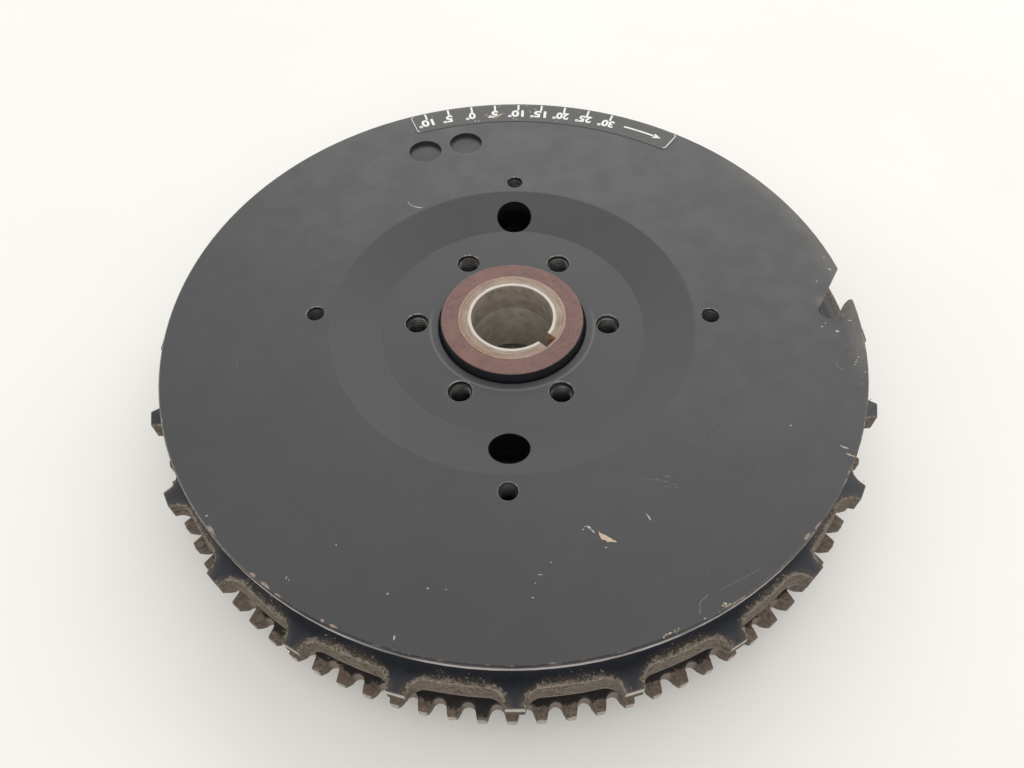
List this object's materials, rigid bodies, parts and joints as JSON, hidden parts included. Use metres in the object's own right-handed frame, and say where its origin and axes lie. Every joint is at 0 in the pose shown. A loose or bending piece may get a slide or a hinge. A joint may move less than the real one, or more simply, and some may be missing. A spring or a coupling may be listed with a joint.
{
  "type": "flywheel",
  "caption": "Magneto flywheel: dished steel disc with rope groove, lugged flange, starter ring gear, keyed taper hub and a skirt lined with arc magnets.",
  "frame": {"origin": "on the crankshaft axis, in the plane that the skirt rests on", "axes": "+Z along the crankshaft axis, up through the disc's top face; +X and +Y through the small tapped holes of the disc, with the rope notch beside +X"},
  "size_m": [0.2496, 0.2496, 0.0451],
  "materials": {
    "black_paint": "satin",
    "hub_steel": "machined, lightly rusted",
    "gear_steel": "bare hardened steel, brown",
    "label_film": "printed film",
    "ferrite": "ground ferrite",
    "cage_plastic": "moulded",
    "stainless": "rolled sheet",
    "plated_steel": "zinc plated",
    "screw_steel": "oiled",
    "carrier_plastic": "moulded"
  },
  "bodies": {
    "root": {"rotor_body": "black_paint", "hub": "hub_steel", "ring_gear": "gear_steel", "timing_label": "label_film", "magnet_1": "ferrite", "magnet_2": "ferrite", "magnet_3": "ferrite", "magnet_4": "ferrite", "magnet_5": "ferrite", "magnet_6": "ferrite", "magnet_cage": "cage_plastic", "magnet_sleeve": "stainless", "retainer_ring": "plated_steel", "retainer_screws": "screw_steel", "trigger_carrier": "carrier_plastic", "trigger_magnet_1": "ferrite", "trigger_magnet_2": "ferrite", "trigger_screws": "screw_steel"}
  },
  "joints": []
}
